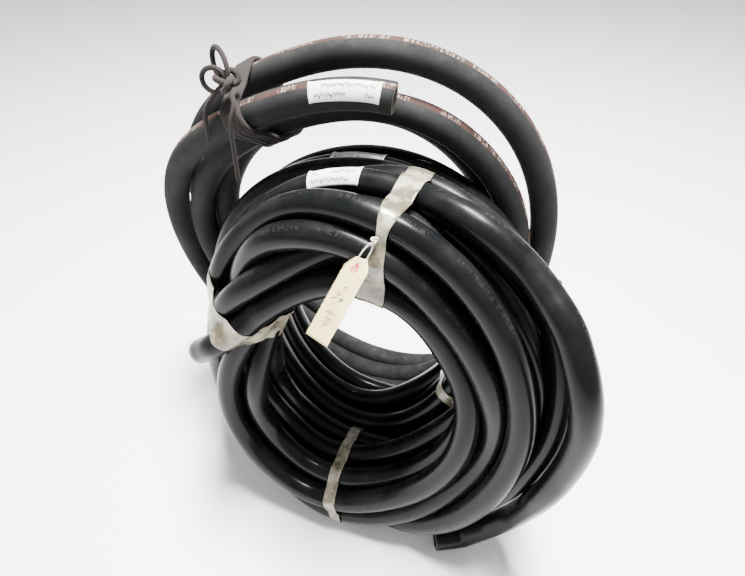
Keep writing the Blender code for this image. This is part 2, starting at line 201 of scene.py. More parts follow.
def coil_axes(coil):
    """(right, up, front) unit vectors of a coil: right and up span its plane."""
    yaw = math.radians(coil["yaw"])
    lean = math.radians(coil["lean"])
    right = np.array((math.cos(yaw), math.sin(yaw), 0))
    level_front = np.array((math.sin(yaw), -math.cos(yaw), 0))
    up = np.array((0, 0, math.cos(lean))) - level_front * math.sin(lean)
    return right, up, np.cross(right, up)


def coil_points(coil, angles, axial=0.0, radial=0.0):
    """Points of the coil at angles in degrees, anticlockwise from its right side as seen from the front."""
    right, up, front = coil_axes(coil)
    roll = math.radians(coil["roll"])
    turn = np.radians(angles) - roll
    bulge = 1 + coil["bulge"][0] * np.cos(3 * turn) + coil["bulge"][1] * np.sin(3 * turn)
    x = (coil["half"][0] + radial) * np.cos(turn) * bulge
    y = (coil["half"][1] + radial) * np.sin(turn) * bulge
    across = x * math.cos(roll) - y * math.sin(roll)
    height = x * math.sin(roll) + y * math.cos(roll)
    axial = np.broadcast_to(axial, turn.shape)
    level = np.outer(across, right) + np.outer(height, up)
    return np.array(coil["centre"]) + level + np.outer(axial, front)


def lengths_along(points):
    return np.concatenate([[0], np.cumsum(np.linalg.norm(np.diff(points, axis=0), axis=1))])


def smooth_route(knots, step):
    """Evenly spaced points along a Catmull-Rom curve through the knots."""
    knots = np.array(knots, float)
    ends = np.vstack([2 * knots[0] - knots[1], knots, 2 * knots[-1] - knots[-2]])
    before, here, after, beyond = ends[:-3], ends[1:-2], ends[2:-1], ends[3:]
    fine = []
    for t in np.arange(12) / 12:
        fine.append(0.5 * (
            2 * here + (after - before) * t + (2 * before - 5 * here + 4 * after - beyond) * t ** 2
            + (3 * here - before - 3 * after + beyond) * t ** 3
        ))
    fine = np.vstack([np.stack(fine, axis=1).reshape(-1, 3), knots[-1:]])
    along = lengths_along(fine)
    at = np.linspace(0, along[-1], max(3, round(along[-1] / step) + 1))
    return np.stack([np.interp(at, along, fine[:, axis]) for axis in range(3)], axis=1)


def winding(coil, start, stop, slots, seed):
    """A coil's turns from one angle to another, each pass in its slot, as points along the hose."""
    draw = np.random.default_rng(seed)
    way = 1 if stop > start else -1
    controls = []
    for key, places in slots.items():
        for number, place in enumerate(places):
            angle = key + way * 360 * number
            controls.append((way * angle, *(np.array(place) / 1000 + draw.normal(0, WOBBLE, 2))))
    controls = np.array(sorted(controls))
    angles = np.linspace(start, stop, round(abs(stop - start) / 360 * POINTS_PER_TURN) + 1)
    at = np.interp(way * angles, controls[:, 0], np.arange(len(controls)))
    below = np.minimum(at.astype(int), len(controls) - 2)
    share = at - below
    share = (share * share * (3 - 2 * share))[:, None]
    places = controls[below, 1:] * (1 - share) + controls[below + 1, 1:] * share
    kernel = np.hanning(2 * SLOT_BLEND + 3)
    kernel /= kernel.sum()
    padded = np.pad(places, ((SLOT_BLEND + 1, SLOT_BLEND + 1), (0, 0)), "edge")
    places = np.stack([np.convolve(padded[:, k], kernel, "valid") for k in range(2)], axis=1)
    return coil_points(coil, angles, places[:, 0], places[:, 1])


def neighbours(points, hoses, reach):
    """Pairs of points of different strands that lie within reach of each other."""
    first, second = [], []
    for i in range(0, len(points), 400):
        block = points[i:i + 400]
        far = ((block[:, None] - points[None]) ** 2).sum(2)
        a, b = np.nonzero(far < reach * reach)
        a += i
        apart = (hoses[a] != hoses[b]) | (np.abs(a - b) > 5)
        first.append(a[apart])
        second.append(b[apart])
    return np.concatenate(first), np.concatenate(second)


def relaxed(routes, radii, stiff):
    """The routes after their strands have pushed each other a diameter apart, above the floor."""
    counts = [len(route) for route in routes]
    hoses = np.repeat(np.arange(len(routes)), counts)
    base = np.vstack(routes)
    radius = np.repeat(radii, counts)
    free = np.concatenate(stiff)[:, None]
    moved = np.zeros_like(base)
    rounds = RELAX_ROUNDS
    for step in range(rounds):
        points = base + moved
        if step % 8 == 0:
            a, b = neighbours(points, hoses, REACH)
        tangent = np.gradient(points, axis=0)
        tangent /= np.linalg.norm(tangent, axis=1)[:, None]
        gap = points[b] - points[a]
        ahead = (gap * tangent[a]).sum(1)
        side = gap - ahead[:, None] * tangent[a]
        apart = np.linalg.norm(side, axis=1) + 1e-9
        wanted = radius[a] + radius[b]
        close = (np.abs(ahead) < 0.012) & (apart < wanted)
        push = np.where(close, (wanted - apart) * PUSH, 0)[:, None] * side / apart[:, None]
        shift = np.zeros_like(base)
        for axis in range(3):
            shift[:, axis] -= np.bincount(a, push[:, axis], len(base))
            shift[:, axis] += np.bincount(b, push[:, axis], len(base))
        moved += shift * free
        for _ in range(2):
            middle = moved.copy()
            middle[1:-1] = 0.25 * moved[:-2] + 0.5 * moved[1:-1] + 0.25 * moved[2:]
            inner = np.zeros(len(base), bool)
            inner[1:-1] = (hoses[1:-1] == hoses[:-2]) & (hoses[1:-1] == hoses[2:])
            moved[inner] = middle[inner]
        low = radius - (base[:, 2] + moved[:, 2])
        moved[:, 2] += np.maximum(low, 0)
    points = base + moved
    edges = np.cumsum(counts)[:-1]
    return np.split(points, edges)


def loose_ends(count, first, last, share):
    """How freely each point may be pushed: not at the two ends, and only by share in the last stretch."""
    free = np.ones(count)
    if last:
        free[-last:] = share
    free[:first] = np.linspace(0, 1, first)
    free[-4:] = 0
    return free


def with_end(route, kept):
    """The route, led smoothly back to its own first course in its last stretch."""
    share = np.linspace(0, 1, END_POINTS)
    share = (share * share * (3 - 2 * share))[:, None]
    last = route[-END_POINTS:] * (1 - share) + kept[-END_POINTS:] * share
    return np.vstack([route[:-END_POINTS], last])


def eased(route):
    """The route with each bend that is tighter than a hose takes drawn out into its neighbours."""
    route = route.copy()
    for _ in range(EASE_ROUNDS):
        pull = route[:-2] + route[2:] - 2 * route[1:-1]
        step = np.linalg.norm(route[2:] - route[:-2], axis=1) / 2
        tight = np.linalg.norm(pull, axis=1) * LEAST_BEND > step ** 2
        tight = np.convolve(tight, np.ones(5), "same") > 0
        tight[:2] = False
        tight[-2:] = False
        route[1:-1][tight] += 0.25 * pull[tight]
    return route


def hose_routes():
    """The centrelines of the three hoses, a few millimetres apart."""
    spacing = 2 * math.pi * USUAL_TURN_R / POINTS_PER_TURN
    front = winding(FRONT, 140, 82 - 3600, FRONT_SLOTS, 3)
    front = smooth_route(np.vstack([FRONT_TAIL, front, FREE_RUN]), spacing)
    middle = smooth_route(winding(MIDDLE, 24, -60 - 3240, MIDDLE_SLOTS, 5), spacing)
    back = smooth_route(winding(BACK, 74.5, 240 + 1080, BACK_SLOTS, 8), spacing)
    run = round(lengths_along(np.array(FREE_RUN))[-1] / spacing)
    stiff = [
        loose_ends(len(front), 5, run, LOOSE_RUN_SHARE),
        loose_ends(len(middle), 4, 0, 1),
        loose_ends(len(back), 5, 0, 1),
    ]
    radii = [WIRE_HOSE_R, WIRE_HOSE_R, SPIRAL_HOSE_R]
    routes = relaxed([front, middle, back], radii, stiff)
    routes[0] = with_end(routes[0], front)
    routes = [smooth_route(eased(route), TUBE_STEP) for route in routes]
    for route, radius in zip(routes, radii):
        route[:, 2] = np.maximum(route[:, 2], radius)
    return routes


# ---- mesh helpers ----
def unit(vector):
    return np.asarray(vector) / np.linalg.norm(vector)


def frames_along(path, start):
    """Unit tangents, and two unit vectors across the path that turn as little as they can."""
    tangents = np.gradient(path, axis=0)
    tangents /= np.linalg.norm(tangents, axis=1)[:, None]
    across = np.zeros_like(path)
    side = np.asarray(start, float)
    for i, tangent in enumerate(tangents):
        side = unit(side - tangent * (side @ tangent))
        across[i] = side
    return tangents, across, np.cross(tangents, across)


def grid_piece(name, rows, along, around, material, closed=True, caps=False):
    """A mesh through rows of points, with UVs in metres along it and turns around it."""
    rows = np.asarray(rows)
    count, sides = rows.shape[:2]
    edges = sides if closed else sides - 1
    faces, uvs = [], []
    for i in range(count - 1):
        for j in range(edges):
            beside = (j + 1) % sides
            faces.append((i * sides + j, i * sides + beside, (i + 1) * sides + beside, (i + 1) * sides + j))
            low, high = around[j], around[j + 1]
            uvs += [(along[i], low), (along[i], high), (along[i + 1], high), (along[i + 1], low)]
    if caps:
        faces.append(tuple(range(sides))[::-1])
        uvs += [(along[0], 0.0)] * sides
        faces.append(tuple((count - 1) * sides + j for j in range(sides)))
        uvs += [(along[-1], 0.0)] * sides
    mesh = bpy.data.meshes.new(name)
    mesh.from_pydata(rows.reshape(-1, 3).tolist(), [], faces)
    mesh.uv_layers.new(name="UVMap").data.foreach_set("uv", np.array(uvs, np.float32).ravel())
    mesh.shade_smooth()
    mesh.materials.append(material)
    piece = bpy.data.objects.new(name, mesh)
    bpy.context.scene.collection.objects.link(piece)
    return piece


def settle(piece, body, slot, *nodes):
    """The piece rides on its body and stands for its CAD nodes, which are hidden; slot is not used."""
    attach(piece, body)
    if nodes:
        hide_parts(*nodes)
    return piece


def ring_rows(centres, radii, across, over, sides):
    """Circles of points, one for each centre."""
    turn = 2 * math.pi * np.arange(sides) / sides
    flat = np.cos(turn)[None, :, None] * across[:, None] + np.sin(turn)[None, :, None] * over[:, None]
    return centres[:, None] + flat * np.asarray(radii)[:, None, None]


# ---- hoses ----
def hose_tube(name, path, radius, cover_bore, start, material):
    """One hose: a round cover along the path, turned in at both cut faces to its bore."""
    tangents, across, over = frames_along(path, start)
    deep = int(np.searchsorted(lengths_along(path), STUB_LENGTH))
    last = len(path) - 1
    order = [deep, 0, 0, 0] + list(range(1, last)) + [last, last, last, last - deep]
    rim = CUT_BEVEL
    sizes = [cover_bore, cover_bore, radius - rim, radius] + [radius] * (last - 1)
    sizes += [radius, radius - rim, cover_bore, cover_bore]
    centres = path[order].copy()
    centres[3] += tangents[0] * rim
    centres[-4] -= tangents[last] * rim
    lengths = lengths_along(path)[order]
    rows = ring_rows(centres, sizes, across[order], over[order], TUBE_SIDES)
    around = np.arange(TUBE_SIDES + 1) / TUBE_SIDES
    return grid_piece(name, rows, lengths, around, material, caps=True)


def cut_sleeves(end_name, path, at_start, layers, materials, body, slots):
    """The liner and the wire layers that show in a cut face."""
    tangents, across, over = frames_along(path, (0, 0, 1))
    end, inward = (0, 1) if at_start else (len(path) - 1, -1)
    pieces = []
    for number, (layer, inner, outer) in enumerate(layers):
        face = path[end] + tangents[end] * inward * SLEEVE_SETBACK * (number % 2)
        depth = path[end] + tangents[end] * inward * SLEEVE_DEPTH
        centres = np.array([depth, face, face, depth, depth])
        sizes = [inner, inner, outer, outer, inner]
        same = [end] * len(sizes)
        rows = ring_rows(centres, sizes, across[same], over[same], SLEEVE_SIDES)
        if not at_start:
            rows = rows[:, ::-1]
        along = np.cumsum([0, SLEEVE_DEPTH, outer - inner, SLEEVE_DEPTH, outer - inner])
        node = f"{end_name}_{layer}"
        kind = "liner" if layer == "liner" else "wire"
        around = np.arange(SLEEVE_SIDES + 1) / SLEEVE_SIDES
        piece = grid_piece(f"{node}_sleeve", rows, along, around, materials[kind])
        pieces.append(settle(piece, body, slots[kind], node))
    return pieces


# ---- bands round the bundles ----
def section(coil, angle, offset):
    """A plane across a coil's bundle, this far along it: (middle, tangent, outward, front)."""
    here, ahead = coil_points(coil, np.array([angle, angle + 0.5]))
    tangent = unit(ahead - here)
    front = coil_axes(coil)[2]
    return here + tangent * offset, tangent, unit(np.cross(tangent, front)), front


def crossings(path, plane, reach):
    """Where a hose crosses a plane, as (outward, front) places in it."""
    middle, tangent, outward, front = plane
    away = path - middle
    side = away @ tangent
    at = np.nonzero(side[:-1] * side[1:] < 0)[0]
    share = (side[at] / (side[at] - side[at + 1]))[:, None]
    away = away[at] * (1 - share) + away[at + 1] * share
    flat = np.stack([away @ outward, away @ front], axis=1)
    return flat[np.linalg.norm(flat, axis=1) < reach]


def wrapped_loop(strands, radius, centre, sag, count):
    """A closed line drawn tight round strands of this radius, sagging a little between them."""
    turn = 2 * math.pi * np.arange(36) / 36
    rings = strands[:, None] + radius * np.stack([np.cos(turn), np.sin(turn)], axis=1)[None]
    cloud = rings.reshape(-1, 2) - centre
    corners = cloud[geometry.convex_hull_2d([tuple(point) for point in cloud])]
    corners = np.vstack([corners, corners[:1]])
    share = np.linspace(0, 1, 20)[:, None]
    fine = np.vstack([here + (beyond - here) * share for here, beyond in zip(corners[:-1], corners[1:])])
    angles = np.arctan2(fine[:, 1], fine[:, 0])
    order = np.argsort(angles)
    wanted = np.linspace(-math.pi, math.pi, count, endpoint=False)
    sizes = np.interp(wanted, angles[order], np.linalg.norm(fine[order], axis=1), period=2 * math.pi)
    loop = np.stack([np.cos(wanted), np.sin(wanted)], axis=1) * sizes[:, None]
    gap = np.linalg.norm(loop[:, None] + centre - strands[None], axis=2).min(axis=1) - radius
    loop *= (1 - sag * np.maximum(gap, 0) / sizes)[:, None]
    return loop + centre


def band_loops(coil, angle, offsets, path, radius, reach, lift, sag=0.35, count=180):
    """For each offset along the bundle, a loop of points round it."""
    centre = crossings(path, section(coil, angle, 0), reach).mean(axis=0)
    loops = []
    for offset in offsets:
        plane = section(coil, angle, offset)
        flat = wrapped_loop(crossings(path, plane, reach), radius + lift, centre, sag, count)
        loops.append(plane[0] + flat[:, :1] * plane[2] + flat[:, 1:] * plane[3])
    return np.array(loops)


def tape_band(name, coil, angle, width, path, reach, body, material, pinched=None):
    """A crinkled strip of clear film wound round a bundle."""
    offsets = np.linspace(-width / 2, width / 2, 13)
    rows = band_loops(coil, angle, offsets, path, WIRE_HOSE_R, reach, TAPE_LIFT)
    middle = rows[len(rows) // 2]
    centre = middle.mean(axis=0)
    outward = middle - centre
    outward /= np.linalg.norm(outward, axis=1)[:, None]
    tangent = section(coil, angle, 0)[1]
    seed = sum(map(ord, name)) % 97
    for j, point in enumerate(middle):
        wander = 1 + TAPE_WANDER * noise.noise(Vector(point) * 45 + Vector((seed, 0, 0)))
        drift = TAPE_DRIFT * noise.noise(Vector(point) * 22 + Vector((0, seed, 0)))
        if pinched is not None:
            near = math.exp(-(np.linalg.norm(point - pinched) / PINCH_REACH) ** 2)
            wander *= 1 - PINCH * near
        along = (rows[:, j] - point) @ tangent
        rows[:, j] += np.outer(along * (wander - 1) + drift, tangent)
    for i in range(len(rows)):
        for j in range(rows.shape[1]):
            at = rows[i, j]
            fine = Vector((offsets[i] * 90, seed, 0)) + Vector(middle[j]) * 160
            broad = Vector(at) * 55 + Vector((seed, seed, 0))
            fold = FINE_FOLD * noise.noise(fine) + BROAD_FOLD * noise.noise(broad)
            rows[i, j] = at + outward[j] * max(fold, -0.0002)
    rows[..., 2] = np.maximum(rows[..., 2], FLOOR_GAP)
    girth = lengths_along(np.vstack([middle, middle[:1]]))
    band = grid_piece(f"{name}_film", rows, offsets, girth, material)
    film = band.modifiers.new("film", "SOLIDIFY")
    film.thickness = TAPE_THICKNESS
    film.offset = 0
    return settle(band, body, "clear_tape", name)


def paper_label(name, path, radius, facing, body, material, length):
    """A paper label stuck along a hose next to its CAD node, facing this way."""
    low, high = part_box(name)
    centre = (np.array(low) + np.array(high)) / 2
    lengths = lengths_along(path)
    middle = lengths[np.argmin(np.linalg.norm(path - centre, axis=1))]
    along = np.linspace(-0.5, 0.5, 33)
    turns = np.linspace(-0.5, 0.5, 13)
    at = middle + along * length
    centres = np.stack([np.interp(at, lengths, path[:, axis]) for axis in range(3)], axis=1)
    tangents = np.gradient(centres, axis=0)
    tangents /= np.linalg.norm(tangents, axis=1)[:, None]
    facing = np.asarray(facing, float)
    rows = []
    for spot, tangent, u in zip(centres, tangents, along):
        out = unit(facing - tangent * (facing @ tangent))
        side = np.cross(out, tangent)
        row = []
        for v in turns:
            lifted = max(0, abs(u) * 2 - LABEL_FLAT_SHARE) / (1 - LABEL_FLAT_SHARE)
            curl = LABEL_CURL * lifted * (0.4 + abs(v))
            wrinkle = LABEL_WRINKLE * noise.noise(Vector((u * 7, v * 5, radius * 900)))
            size = radius + LABEL_LIFT + curl + max(wrinkle, 0)
            turn = v * LABEL_WIDTH / radius
            row.append(spot + size * (math.cos(turn) * out + math.sin(turn) * side))
        rows.append(row)
    label = grid_piece(f"{name}_paper", rows, along, turns, material, closed=False)
    sheet = label.modifiers.new("sheet", "SOLIDIFY")
    sheet.thickness = LABEL_THICKNESS
    return settle(label, body, "label_paper", name)


# ---- twine and the tag ----
def rope(name, path, radius, material, pitch, sides=15, closed_ends=True):
    """Three strands laid into a rope along a path."""
    tangents, across, over = frames_along(path, (0.3, 0.2, 1))
    lengths = lengths_along(path)
    turn = 2 * math.pi * np.arange(sides) / sides
    lay = turn[None] - 2 * math.pi * lengths[:, None] / pitch
    size = radius * (0.80 + 0.20 * np.abs(np.cos(1.5 * lay)))
    flat = np.cos(turn)[None, :, None] * across[:, None] + np.sin(turn)[None, :, None] * over[:, None]
    rows = path[:, None] + flat * size[..., None]
    return grid_piece(name, rows, lengths, np.arange(sides + 1) / sides, material, caps=closed_ends)


def trefoil(centre, size, tilt, step):
    """A closed overhand knot's line round a point."""
    turn = np.linspace(0, 2 * math.pi, 60)
    across = np.sin(turn) + 2 * np.sin(2 * turn)
    over = np.cos(turn) - 2 * np.cos(2 * turn)
    line = np.stack([across, over, -np.sin(3 * turn)], axis=1)
    spin = np.array(Matrix.Rotation(tilt[0], 3, "X") @ Matrix.Rotation(tilt[1], 3, "Z"))
    return smooth_route(np.array(centre) + line @ spin.T * size / 3, step)


def bow_line(knot, tip):
    """A loop of twine from the knot out to a tip and back."""
    turn = np.linspace(0, 2 * math.pi, 48)
    reach = tip - knot
    side = unit(np.cross(reach, (0.3, 0.9, 0.1)))
    lift = unit(np.cross(side, reach))
    line = knot + np.outer((1 - np.cos(turn)) / 2, reach)
    line += np.outer(np.sin(turn) * BOW_HALF_WIDTH, side)
    line += np.outer(np.sin(turn / 2) * (turn / math.pi - 1) * BOW_LIFT, lift)
    return smooth_route(line, 0.0018)


def add_twine(path, material):
    """Wraps of brown twine round the back bundle, their knot, two bows and two tails."""
    offsets = np.linspace(-TIE_WIDTH / 2, TIE_WIDTH / 2, TIE_LOOPS)
    lift = TWINE_R * 0.9
    loops = band_loops(BACK, TIE_ANGLE, offsets, path, SPIRAL_HOSE_R, 0.085, lift, 0.1, LOOP_POINTS)
    draw = np.random.default_rng(4)
    spiral = []
    for i in range(TIE_TURNS * TURN_POINTS + 1):
        turn = i / TURN_POINTS
        shift = WRAP_SWAY * math.sin(math.pi * turn + 1)
        shift += WRAP_STRAY * noise.noise(Vector((turn * 3, 2, 0)))
        offset = (turn / TIE_TURNS - 0.5) * (TIE_WIDTH - 2 * TWINE_R) + shift
        offset = np.clip(offset, offsets[0], offsets[-1])
        share = (offset - offsets[0]) / TIE_WIDTH * (TIE_LOOPS - 1)
        low = min(int(share), TIE_LOOPS - 2)
        j = int(turn * LOOP_POINTS) % LOOP_POINTS
        point = loops[low, j] * (1 - share + low) + loops[low + 1, j] * (share - low)
        out = unit(point - loops.mean(axis=(0, 1)))
        spiral.append(point + out * draw.uniform(0, 0.0006))
    wraps = rope("twine_wraps_rope", smooth_route(spiral[::2], 0.0022), TWINE_R, material, 0.014)
    settle(wraps, "back", "twine", "twine_wraps")
    knot_line = trefoil(TWINE_KNOT, TWINE_KNOT_SIZE, (0.5, 0.4), 0.0018)
    knot = rope("twine_knot_rope", knot_line, TWINE_R * 1.05, material, 0.014)
    settle(knot, "back", "twine", "twine_knot")
    for name, tip in (("twine_left_ear", LEFT_BOW_TIP), ("twine_right_ear", RIGHT_BOW_TIP)):
        line = bow_line(np.array(TWINE_KNOT), np.array(tip))
        bow = rope(f"{name}_rope", line, EAR_R, material, 0.011)
        settle(bow, "back", "twine", name)
    for name, points in (("twine_short_tail", SHORT_TAIL), ("twine_long_tail", LONG_TAIL)):
        line = smooth_route([TWINE_KNOT, *points], 0.0016)
        tail = rope(f"{name}_rope", line, TAIL_R, material, 0.009)
        settle(tail, "back", "twine", name)


def tag_axes():
    """(along, across, facing) unit vectors of the tag."""
    along = unit(np.array(TAG_ALONG))
    across = np.array(TAG_ACROSS)
    across = unit(across - along * (across @ along))
    return along, across, np.cross(along, across)


def add_tag(materials):
    """The card with its pencil strokes, two red patches, and the cord it hangs by."""
    along, across, facing = tag_axes()
    top = np.array(TAG_TOP)
    half = TAG_WIDTH / 2
    rows = []
    steps = np.linspace(0, TAG_LENGTH, 34)
    for s in steps:
        edge = half - max(0.0, TAG_CLIP - s)
        row = []
        for v in np.linspace(-1, 1, 18):
            bow = CARD_BOW * math.sin(math.pi * s / TAG_LENGTH) * (1 - v * v)
            worn = CARD_WEAR * noise.noise(Vector((s * 300, v * 3, 5)))
            row.append(top + along * s + across * v * edge * (1 + worn * 8) + facing * (bow + worn))
        rows.append(row)
    spread = np.linspace(-half, half, 18)
    card = grid_piece("tag_card_sheet", rows, steps, spread, materials["manila"], closed=False)
    sheet = card.modifiers.new("card", "SOLIDIFY")
    sheet.thickness = TAG_THICKNESS
    sheet.offset = 0
    settle(card, "tag_card", "manila", "tag_card")
    hole = top + along * TAG_HOLE_DOWN
    for name, sign in (("tag_patch_front", 1), ("tag_patch_back", -1)):
        rings = []
        turn = -sign * 2 * math.pi * np.arange(PATCH_SIDES) / PATCH_SIDES
        for size, lift in PATCH_PROFILE:
            ring = hole + (np.outer(np.cos(turn), along) + np.outer(np.sin(turn), across)) * size
            rings.append(ring + facing * sign * (TAG_THICKNESS / 2 + lift))
        around = np.arange(PATCH_SIDES + 1) / PATCH_SIDES
        steps = np.arange(len(rings)) * 0.002
        patch = grid_piece(f"{name}_disc", rings, steps, around, materials["red_patch"])
        settle(patch, "tag_card", "red_patch", name)
    knot = np.array(TAG_KNOT)
    start = knot + unit(hole - knot) * TAG_KNOT_R
    reach = (hole + along * STRING_R - start) / 2
    turn = np.linspace(0, 2 * math.pi, 40)
    loop = start + np.outer(1 - np.cos(turn), reach) + np.outer(np.sin(turn), facing) * STRING_SPREAD
    line = smooth_route(loop, 0.0007)
    cord = rope("tag_string_cord", line, STRING_R, materials["tag_string"], 0.003, 12)
    settle(cord, "tag_string", "tag_string", "tag_string")
    tied = trefoil(knot, TAG_KNOT_SIZE, (0.9, 0.2), 0.0007)
    lump = rope("tag_knot_cord", tied, 0.0010, materials["tag_string"], 0.003, 12)
    settle(lump, "front", "tag_string", "tag_knot")


# ---- materials ----
class Shader:
    """A Principled material and short ways to add nodes to it."""

    def __init__(self, name, **sockets):
        self.material = bpy.data.materials.new(name)
        self.material.use_nodes = True
        self.nodes = self.material.node_tree.nodes
        self.links = self.material.node_tree.links
        self.shader = self.nodes["Principled BSDF"]
        for socket, value in sockets.items():
            self.shader.inputs[socket.replace("_", " ")].default_value = value

    def add(self, kind, **inputs):
        """A node, with its inputs set to numbers or joined to other nodes' sockets."""
        node = self.nodes.new(kind)
        for key, value in inputs.items():
            self.join(value, node.inputs[key.replace("_", " ")])
        return node

    def join(self, value, socket):
        if isinstance(value, bpy.types.NodeSocket):
            self.links.new(value, socket)
        else:
            socket.default_value = value

    def maths(self, operation, first, second=0.0, third=0.0):
        node = self.nodes.new("ShaderNodeMath")
        node.operation = operation
        for socket, value in zip(node.inputs, (first, second, third)):
            self.join(value, socket)
        return node.outputs[0]

    def times(self, first, second):
        return self.maths("MULTIPLY", first, second)

    def scaled(self, value, factor, offset):
        """value times factor, plus offset."""
        return self.maths("MULTIPLY_ADD", value, factor, offset)

    def ramp(self, value, low, high, start=0.0, stop=1.0):
        """value from low to high, taken smoothly to start and stop."""
        node = self.nodes.new("ShaderNodeMapRange")
        node.interpolation_type = "SMOOTHSTEP"
        for socket, number in zip(node.inputs, (value, low, high, start, stop)):
            self.join(number, socket)
        return node.outputs[0]

    def mix(self, share, first, second):
        node = self.nodes.new("ShaderNodeMix")
        node.data_type = "RGBA"
        self.join(share, node.inputs[0])
        self.join(first, node.inputs[6])
        self.join(second, node.inputs[7])
        return node.outputs[2]

    def noise(self, scale, detail=3.0, roughness=0.5, vector=None):
        node = self.nodes.new("ShaderNodeTexNoise")
        node.inputs["Scale"].default_value = scale
        node.inputs["Detail"].default_value = detail
        node.inputs["Roughness"].default_value = roughness
        self.links.new(vector or self.place(), node.inputs["Vector"])
        return node.outputs["Fac"]

    def line_noise(self, value, detail=0.0):
        """Noise that changes along one number."""
        node = self.add("ShaderNodeTexNoise", Scale=1.0, Detail=detail)
        node.noise_dimensions = "1D"
        self.links.new(value, node.inputs["W"])
        return node.outputs["Fac"]

    def place(self):
        return self.nodes.new("ShaderNodeTexCoord").outputs["Object"]

    def split(self, vector):
        node = self.nodes.new("ShaderNodeSeparateXYZ")
        self.links.new(vector, node.inputs[0])
        return node.outputs

    def uv(self):
        """(metres along, turns around) of a tube, or the two ways across a sheet."""
        return self.split(self.nodes.new("ShaderNodeTexCoord").outputs["UV"])[:2]

    def wave(self, value):
        """A sine between 0 and 1, one wave for each whole number."""
        turn = self.times(value, 2 * math.pi)
        return self.scaled(self.maths("SINE", turn), 0.5, 0.5)

    def bump(self, height, strength, distance):
        node = self.add("ShaderNodeBump", Strength=strength, Distance=distance, Height=height)
        self.links.new(node.outputs[0], self.shader.inputs["Normal"])

    def set(self, socket, value):
        self.links.new(value, self.shader.inputs[socket])


def facing_up(shader):
    """How far a surface faces up, from 0 to 1, where dust settles."""
    normal = shader.nodes.new("ShaderNodeNewGeometry").outputs["Normal"]
    return shader.ramp(shader.split(normal)[2], 0.1, 1.0)


def layline(shader, along, around, middle, width, print_from, print_to):
    """(stripe, print) masks: a stripe along a hose, and dashes of generic marks on it."""
    drift = shader.noise(1.2, 1.0)
    offset = shader.maths("SUBTRACT", around, shader.scaled(drift, 0.06, middle - 0.03))
    distance = shader.maths("ABSOLUTE", offset)
    stripe = shader.ramp(distance, width, width * 0.86)
    strokes = shader.maths("GREATER_THAN", shader.line_noise(shader.times(along, 420.0)), 0.47)
    groups = shader.maths("GREATER_THAN", shader.line_noise(shader.times(along, 26.0)), 0.44)
    above = shader.maths("GREATER_THAN", offset, print_from * width)
    below = shader.maths("LESS_THAN", offset, print_to * width)
    band = shader.times(above, below)
    worn = shader.ramp(shader.noise(260.0, 2.0), 0.40, 0.56)
    printed = shader.times(strokes, groups)
    printed = shader.times(printed, shader.times(band, worn))
    return stripe, printed


def rubber_cover():
    """Smooth black rubber with the faint ribs of its wrap, dust, scuffs and a worn line of print."""
    s = Shader("smooth_cover", Specular_IOR_Level=0.07, Coat_Weight=0.05, Coat_Roughness=0.10)
    along, around = s.uv()
    dust = s.times(facing_up(s), s.ramp(s.noise(28.0, 5.0, 0.62), 0.38, 0.75))
    scuffs = s.ramp(s.noise(9.0, 4.0, 0.6), 0.52, 0.72)
    colour = s.mix(scuffs, (0.0030, 0.0033, 0.0036, 1), (0.0085, 0.0086, 0.0088, 1))
    colour = s.mix(s.times(dust, 0.07), colour, (0.085, 0.080, 0.070, 1))
    _, printed = layline(s, along, around, 0.10, 0.034, -0.8, 0.8)
    colour = s.mix(s.times(printed, 0.02), colour, (0.34, 0.32, 0.26, 1))
    s.set("Base Color", colour)
    ribs = s.wave(s.scaled(around, 1.0, s.times(along, 420.0)))
    rough = s.scaled(scuffs, 0.14, 0.22)
    rough = s.scaled(dust, 0.20, rough)
    s.set("Roughness", s.scaled(ribs, 0.05, rough))
    height = s.scaled(s.noise(420.0, 2.0), 0.35, ribs)
    s.bump(s.scaled(s.noise(60.0, 3.0), 0.8, height), 0.14, 0.00012)
    return s.material


def cloth_cover():
    """Matte charcoal cloth-wrapped rubber with a weave, chalky wear and a reddish line of pale marks."""
    s = Shader("cloth_cover", Specular_IOR_Level=0.15)
    along, around = s.uv()
    step = s.times(along, 620.0)
    turn = s.times(around, 64.0)
    warp = s.wave(s.maths("ADD", step, turn))
    weft = s.wave(s.maths("SUBTRACT", step, turn))
    weave = s.maths("MAXIMUM", warp, weft)
    blotch = s.ramp(s.noise(16.0, 5.0, 0.65), 0.36, 0.70)
    chalk = s.times(facing_up(s), s.ramp(s.noise(75.0, 4.0, 0.7), 0.40, 0.72))
    colour = s.mix(blotch, (0.0050, 0.0054, 0.0054, 1), (0.0125, 0.0127, 0.0122, 1))
    colour = s.mix(s.times(weave, 0.35), colour, (0.0165, 0.0172, 0.0168, 1))
    colour = s.mix(s.times(chalk, 0.24), colour, (0.060, 0.058, 0.053, 1))
    stripe, printed = layline(s, along, around, 0.93, 0.044, -0.75, 0.75)
    fade = s.ramp(s.noise(34.0, 4.0, 0.7), 0.30, 0.62)
    stripe = s.times(stripe, s.scaled(fade, 0.5, 0.42))
    colour = s.mix(stripe, colour, (0.044, 0.021, 0.016, 1))
    colour = s.mix(s.times(printed, 0.45), colour, (0.36, 0.31, 0.26, 1))
    s.set("Base Color", colour)
    s.set("Roughness", s.scaled(blotch, -0.12, 0.86))
    s.bump(s.scaled(s.noise(180.0, 4.0), 0.9, weave), 0.55, 0.00030)
    return s.material


def inner_rubber():
    """Dull black liner rubber with a saw's marks on its cut face."""
    s = Shader("inner_tube", Specular_IOR_Level=0.35)
    grain = s.noise(320.0, 4.0, 0.7)
    s.set("Base Color", s.mix(grain, (0.006, 0.006, 0.0065, 1), (0.028, 0.027, 0.026, 1)))
    s.set("Roughness", s.scaled(grain, 0.3, 0.5))
    s.bump(grain, 0.5, 0.0003)
    return s.material


